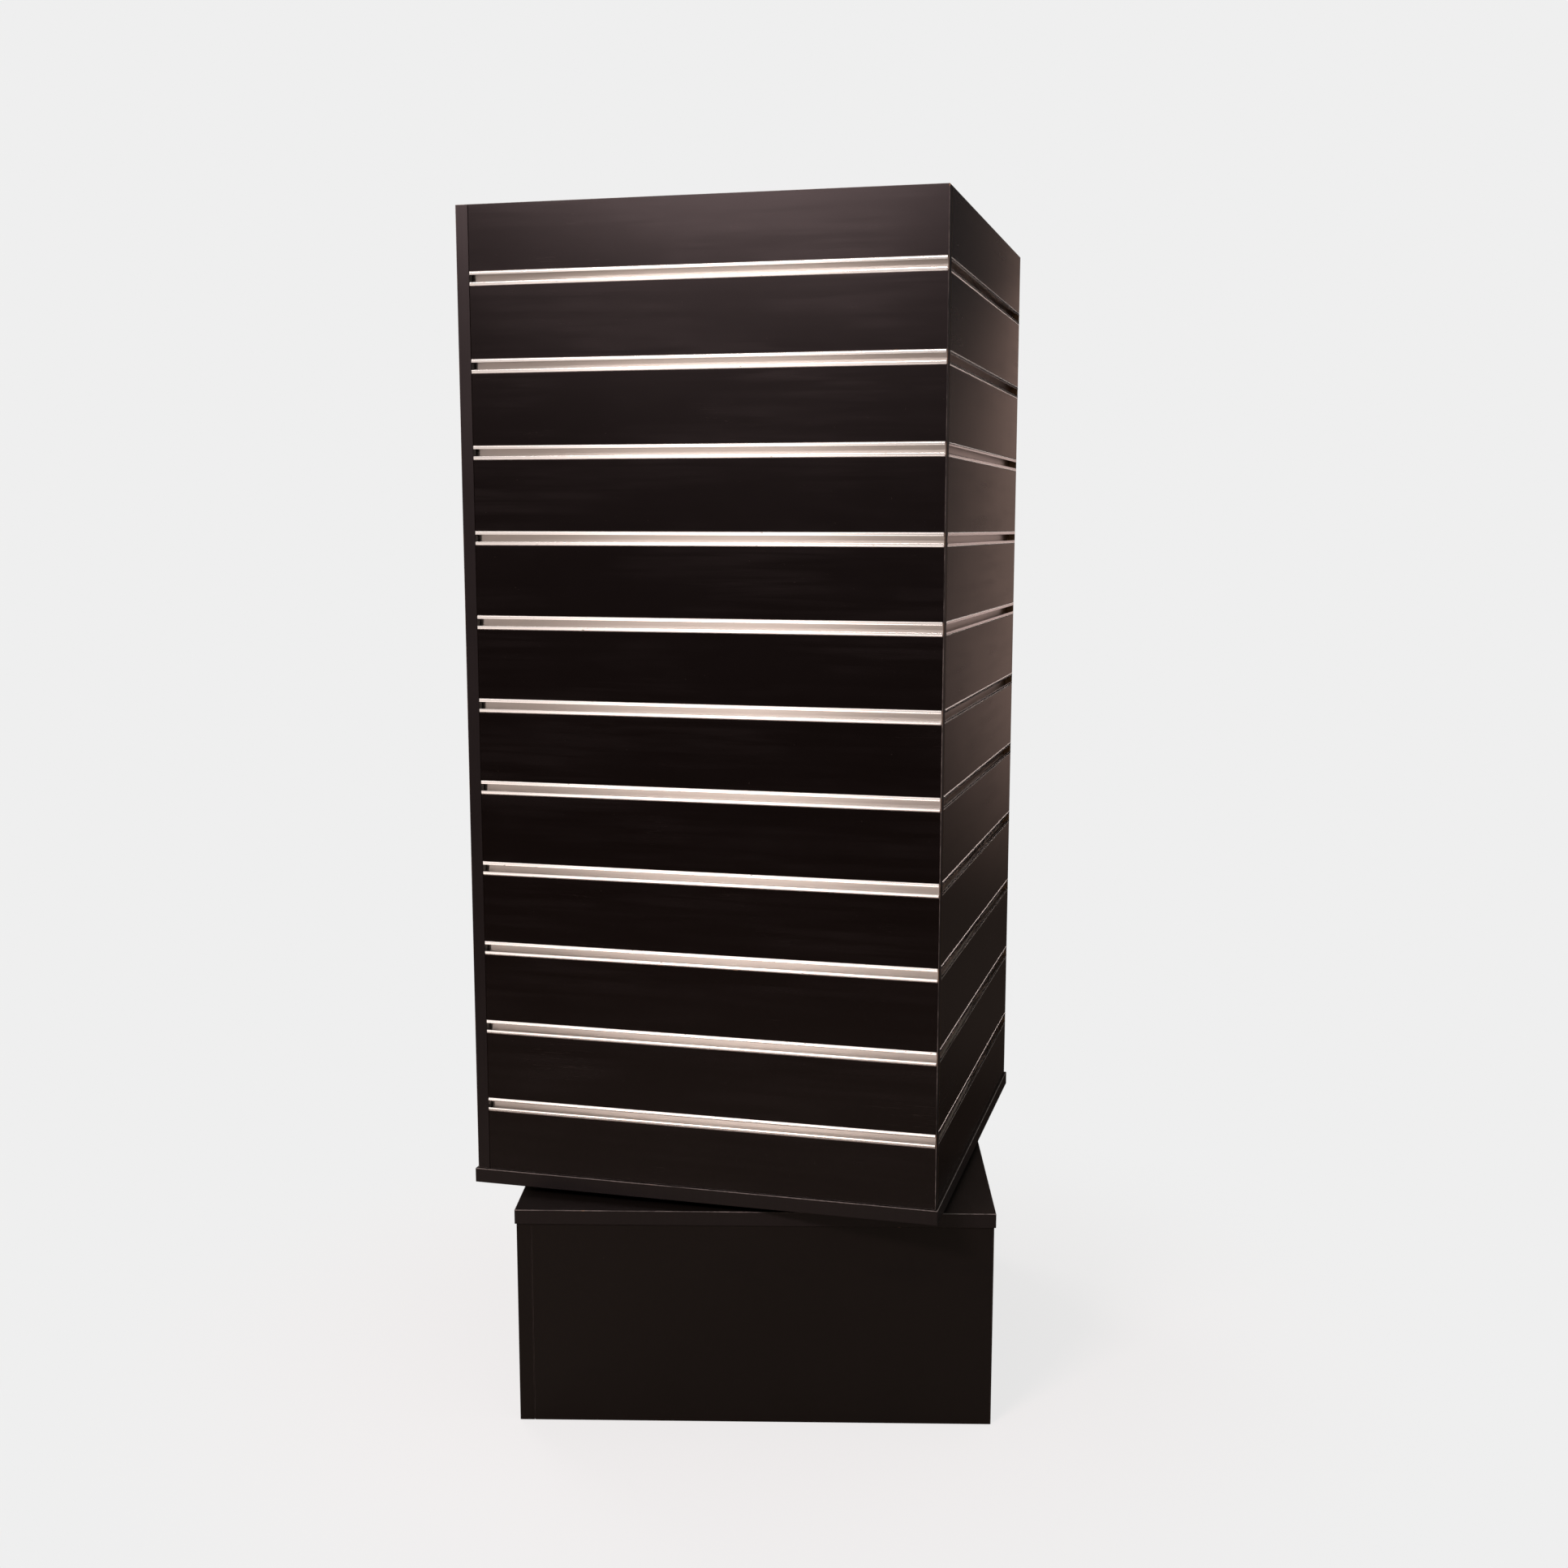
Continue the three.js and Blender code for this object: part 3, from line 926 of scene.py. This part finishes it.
def build_screws(name, body, height, turned_over, turn):
    """Four screws that hold a bearing plate to its board."""
    item = screw_head()
    if turned_over:
        item.transform(Matrix.Rotation(math.pi, 4, "X"))
    mesh = ring_of(name, item, SCREWS, SCREW_PLACE * math.sqrt(2), height, ZINC)
    mesh.transform(Matrix.Rotation(math.pi / 4, 4, "Z"))
    set_down(name, mesh, body, turn)


def pierced_ring(low, high, hole):
    """The cage's pressed ring between two heights, with a hole for each ball."""
    middle = (low + high) / 2
    inside, outside = RACE - CAGE_HALF, RACE + CAGE_HALF
    section = [(outside, low), (outside, high), (inside, high), (inside, low)]
    holder = put("cage_ring", lathed("cage_ring", section, CAGE_STEPS, BEARING))
    section = [(hole, -hole), (hole, hole), (0.0, hole), (0.0, -hole)]
    punch = lathed("cage_punch", section, PUNCH_STEPS, BEARING)
    holes = put("cage_holes", ring_of("cage_punches", punch, BALLS, RACE, middle, BEARING))
    cut = holder.modifiers.new("holes", "BOOLEAN")
    cut.operation, cut.solver, cut.object = "DIFFERENCE", "EXACT", holes
    mesh = evaluated(holder)
    bpy.data.objects.remove(holes)
    return mesh


def ball_mesh(radius):
    """A smooth ball. Its points are listed ring by ring between its poles, in the same order each run."""
    points = [(0.0, 0.0, radius)]
    for ring in range(1, BALL_HEIGHT_STEPS):
        tilt = math.pi * ring / BALL_HEIGHT_STEPS
        height = radius * math.cos(tilt)
        circle = arc((0.0, 0.0), radius * math.sin(tilt), 0.0, 2 * math.pi, BALL_ROUND_STEPS)
        points += [(x, y, height) for x, y in circle[:-1]]
    points.append((0.0, 0.0, -radius))
    lowest_ring = len(points) - 1 - BALL_ROUND_STEPS
    faces = []
    for step in range(BALL_ROUND_STEPS):
        after = (step + 1) % BALL_ROUND_STEPS
        faces.append((0, 1 + step, 1 + after))
        for start in range(1, lowest_ring, BALL_ROUND_STEPS):
            below = start + BALL_ROUND_STEPS
            faces.append((start + step, below + step, below + after, start + after))
        faces.append((len(points) - 1, lowest_ring + after, lowest_ring + step))
    mesh = bpy.data.meshes.new("ball")
    mesh.from_pydata(points, [], faces)
    for face in mesh.polygons:
        face.use_smooth = True
    return mesh


def build_cage():
    """Pressed ring with sixteen holes, and a ball in each."""
    low, high = own_box("bearing_ball_cage")
    middle = (low.z + high.z) / 2
    ball = (high.z - low.z) / 2
    ring = pierced_ring(middle - CAGE_SHEET / 2, middle + CAGE_SHEET / 2, ball + FIT)
    set_down("cage_ring", ring, "ball_cage", nodes=["bearing_ball_cage"])
    balls = ring_of("bearing_balls", ball_mesh(ball), BALLS, RACE, middle, BEARING)
    set_down("bearing_balls", balls, "ball_cage", nodes=["bearing_ball_cage"])


def build_bearing():
    """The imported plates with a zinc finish, the cage with its balls, and the screws."""
    for node in ("bearing_upper_plate", "bearing_lower_plate"):
        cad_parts[node].data.materials.clear()
        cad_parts[node].data.materials.append(ZINC)
    build_cage()
    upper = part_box("bearing_upper_plate")[1][2] - PLATE_SHEET
    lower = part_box("bearing_lower_plate")[0][2] + PLATE_SHEET
    build_screws("upper_plate_screws", "tower", upper, True, 0.0)
    build_screws("lower_plate_screws", "base", lower, False, BASE_TURN)


build_tower()
build_base()
build_bearing()


# Stage: floor, world, cards, lamps and camera

# How light the floor and the world are to the camera, and how wide the floor is, in metres.
PALE = 0.8632
STAGE_SIZE = 30.0

# The stand's shadow on the floor that the camera sees: where it starts and is full, in metres from the
# middle, the share of real light there, and how much steady light that takes the place of.
SHADOW_START = 1.0
SHADOW_FULL = 0.35
SHADOW_SHARE = 0.22
FLOOR_LIGHT = 0.62

# The floor in reflections: brown up to one distance from the middle, dim from another on, and darker behind
# the stand's right side, a painted shade of the stand there, from the first x and y, and fully so from the
# second.
NEAR_FLOOR = (0.27, 0.235, 0.20, 1)
FAR_FLOOR = (0.10, 0.07, 0.06, 1)
PAINTED_SHADE_FLOOR = (0.024, 0.017, 0.014, 1)
FLOOR_BROWN = 1.5
FLOOR_DIM = 2.5
BEHIND_X = (0.30, 0.40)
BEHIND_Y = (0.10, 0.35)

# The room in reflections: dim walls, and a bright ceiling that starts and is full at these upward parts
# of a direction.
WALL = (0.022, 0.018, 0.017, 1)
CEILING = (0.50, 0.46, 0.44, 1)
CEILING_START = 0.30
CEILING_FULL = 0.80


def sheet(name, points):
    """A flat stage object with four corners."""
    mesh = bpy.data.meshes.new(name)
    mesh.from_pydata(points, [], [(0, 1, 2, 3)])
    return put(name, mesh)


def build_floor():
    """Pale floor. The camera sees it evenly lit with the stand's soft shadow, and the stand's own gloss
    sees it dark, as the photographed room's floor was, with a painted shade darker still behind the stand's
    right side."""
    half = STAGE_SIZE / 2
    floor = sheet("floor", [(-half, -half, 0), (half, -half, 0), (half, half, 0), (-half, half, 0)])
    f = new_finish("floor")
    place = f.object_place()
    away = f.field("ShaderNodeVectorMath", {"operation": "LENGTH"}, {0: place}, "Value")
    share = f.ramp(away, SHADOW_START, SHADOW_FULL) * SHADOW_SHARE
    lit = f.surface("ShaderNodeBsdfDiffuse", {"Color": share})
    even = f.surface("ShaderNodeEmission", {"Color": PALE - share * FLOOR_LIGHT})
    seen = f.surface("ShaderNodeAddShader", {0: lit, 1: even})
    shade = f.blend(f.ramp(away, FLOOR_DIM, FLOOR_BROWN), FAR_FLOOR, NEAR_FLOOR)
    # Painted shade: the floor behind the stand's right side is darker in reflections.
    behind = f.ramp(f.axis(place, "X"), *BEHIND_X) * f.ramp(f.axis(place, "Y"), *BEHIND_Y)
    dark = f.surface("ShaderNodeBsdfDiffuse", {"Color": f.blend(behind, shade, PAINTED_SHADE_FLOOR)})
    f.finish_with(f.split_by_camera(dark, seen))
    floor.data.materials.append(f.owner)
    floor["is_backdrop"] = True


def build_world():
    """Pale to the camera, and a dim room with a soft bright ceiling to everything else."""
    world = bpy.data.worlds.new("studio")
    bpy.context.scene.world = world
    f = Finish(world)
    direction = f.node("ShaderNodeTexCoord").outputs["Generated"]
    up = f.axis(direction, "Z")
    room = f.blend(f.ramp(up, CEILING_START, CEILING_FULL), WALL, CEILING)
    unseen = f.surface("ShaderNodeBackground", {"Color": room})
    pale = f.surface("ShaderNodeBackground", {"Color": (PALE, PALE, PALE, 1)})
    f.finish_with(f.split_by_camera(unseen, pale))


def shine_on(source, lit, unlit):
    """Keeps the light of a lamp or a card to some pieces, or off them."""
    if not lit and not unlit:
        return
    group = bpy.data.collections.new(f"{source.name}_group")
    for piece in (*lit, *unlit):
        group.objects.link(piece)
    for entry in group.collection_objects:
        entry.light_linking.link_state = "INCLUDE" if lit else "EXCLUDE"
    source.light_linking.receiver_collection = group


def softbox(name, place, target, size, power, color, lit=(), unlit=()):
    """A rectangular lamp that faces its target. It may light some pieces alone, or leave some out."""
    lamp = bpy.data.lights.new(name, "AREA")
    lamp.shape = "RECTANGLE"
    lamp.size, lamp.size_y = size
    lamp.energy = power
    lamp.color = color
    holder = put(name, lamp)
    holder.location = place
    holder.rotation_euler = (Vector(target) - Vector(place)).to_track_quat("-Z", "Y").to_euler()
    holder.visible_camera = False
    shine_on(holder, lit, unlit)


def light_card(name, low, high, glow_of, lit=(), unlit=()):
    """An upright card seen only in gloss. One that lights some pieces alone is clear to all the others,
    and one that leaves some out is black to those."""
    card = sheet(name, [low, (high[0], low[1], low[2]), high, (low[0], low[1], high[2])])
    f = new_finish(name)
    place = f.object_place()
    glow = glow_of(f, f.axis(place, "X"), f.axis(place, "Z"))
    surface = f.surface("ShaderNodeEmission", {"Color": glow})
    if lit:
        clear = f.surface("ShaderNodeBsdfTransparent")
        surface = f.surface("ShaderNodeAddShader", {0: surface, 1: clear})
    f.finish_with(surface)
    card.data.materials.append(f.owner)
    for ray in ("camera", "diffuse", "shadow", "transmission", "volume_scatter"):
        setattr(card, f"visible_{ray}", False)
    shine_on(card, lit, unlit)
    card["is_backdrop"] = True


def side_glow(f, x, z):
    """Warm light behind the right side: strongest close to the stand, and gone low down."""
    # The light's far edge moves in with height, down to a least distance.
    edge = (0.765 - z * 0.275).most(0.352)
    across = f.ramp(x, 0.24, 0.32) * f.ramp(x, 0.56, 0.36) * f.ramp(x - edge, 0.03, -0.03)
    shown = across * f.ramp(z, 0.42, 0.90) * (0.55 + f.ramp(z, 1.05, 1.65) * 0.62)
    # Around it the room is brown near the floor and a cool grey higher up.
    low = f.blend(f.ramp(z, 0.08, 0.25), (0.022, 0.015, 0.012, 1), (0.042, 0.030, 0.025, 1))
    room = f.blend(f.ramp(z, 0.50, 0.90), low, (0.018, 0.021, 0.024, 1))
    return f.blend(shown, room, (0.70, 0.465, 0.385, 1))


def channel_glow(f, x, z):
    """Broad light for the channels alone, used in front and behind: strongest a little left of the middle
    and towards the floor."""
    left = f.ramp(x, -0.62, -0.30) * f.ramp(x, 0.06, -0.20)
    across = left * 0.60 + 0.40 - f.ramp(x, -0.10, 0.15) * 0.13
    down = 0.80 + f.ramp(z, 1.20, 0.80) * 0.20 + f.ramp(z, 0.70, 0.0) * 0.80
    low = 1.0 + f.ramp(z, 0.9, 0.1) * f.ramp(x, -0.60, -0.30) * 0.45
    return f.blend(across * down * low, (0, 0, 0, 1), (1.96, 1.69, 1.57, 1))


# Cards: name, lowest and highest corner, glow, and what they light.
CARDS = (
    ("side_card", (0.20, 0.75, 0.0), (0.70, 0.75, 2.2), side_glow, "others"),
    ("front_card", (-1.70, -1.2, 0.02), (1.10, -1.2, 2.3), channel_glow, "channels"),
    ("back_card", (-1.70, 1.2, 0.02), (0.28, 1.2, 2.3), channel_glow, "channels"),
)

# Lamps: name, place, target, width and height, power, colour, and what they light.
WARM = (1.0, 0.90, 0.86)
NEUTRAL = (1.0, 0.95, 0.92)
LAMPS = (
    ("key", (-0.72, -2.75, 2.5), (0.0, -0.29, 0.95), (0.88, 0.4), 51.0, (1.0, 0.73, 0.73), "others"),
    ("channel_key", (-0.66, -2.75, 2.5), (0.0, -0.29, 0.95), (1.0, 0.4), 16.0, WARM, "channels"),
    ("channel_low", (-0.40, -2.75, 0.3), (0.0, -0.29, 0.3), (0.7, 0.3), 1.2, WARM, "channels"),
    ("channel_side", (0.42, 0.72, 1.06), (0.29, -0.26, 1.06), (0.2, 0.36), 0.105, (1.0, 0.74, 0.68),
     "channels"),
    ("lip_side", (1.9, 1.9, 1.25), (0.29, 0.0, 1.25), (0.5, 1.9), 11.0, (1.0, 0.78, 0.71), "channels"),
    ("left_back", (-2.2, 1.8, 2.5), (0.0, 0.0, 0.8), (1.2, 1.2), 22.0, NEUTRAL, "all"),
    ("right", (2.9, 0.4, 2.2), (0.0, 0.0, 0.8), (1.0, 1.0), 12.0, NEUTRAL, "all"),
)


def build_lights():
    """The cards and lamps. Some light the channels alone, and some everything but them."""
    channels = [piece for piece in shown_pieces() if piece.name.startswith("groove_channels")]
    links = {"channels": {"lit": channels}, "others": {"unlit": channels}, "all": {}}
    for *card, on in CARDS:
        light_card(*card, **links[on])
    for *lamp, on in LAMPS:
        softbox(*lamp, **links[on])


def build_camera():
    """The photograph's view, solved from measured edges: 1932 pixels square, focal length and middle
    in pixels."""
    frame_px, focal_px = 1932.0, 2288.73
    middle_x_px, middle_y_px = 971.33, 1000.55
    data = bpy.data.cameras.new("camera")
    data.sensor_width = 36.0
    data.lens = focal_px / frame_px * data.sensor_width
    data.shift_x = 0.5 - middle_x_px / frame_px
    data.shift_y = middle_y_px / frame_px - 0.5
    camera = put("camera", data)
    forward = Vector((-0.24718, 0.957, -0.15183)).normalized()
    right = Vector((0.96815, 0.25036, 0.00184))
    right = (right - forward * right.dot(forward)).normalized()
    above = right.cross(forward)
    place = Vector((0.64682, -2.36667, 0.79789 + panel_low.z))
    camera.matrix_world = Matrix((
        (right.x, above.x, -forward.x, place.x),
        (right.y, above.y, -forward.y, place.y),
        (right.z, above.z, -forward.z, place.z),
        (0, 0, 0, 1)))
    bpy.context.scene.camera = camera


build_floor()
build_world()
build_lights()
build_camera()
bpy.context.scene.view_settings.view_transform = "Standard"
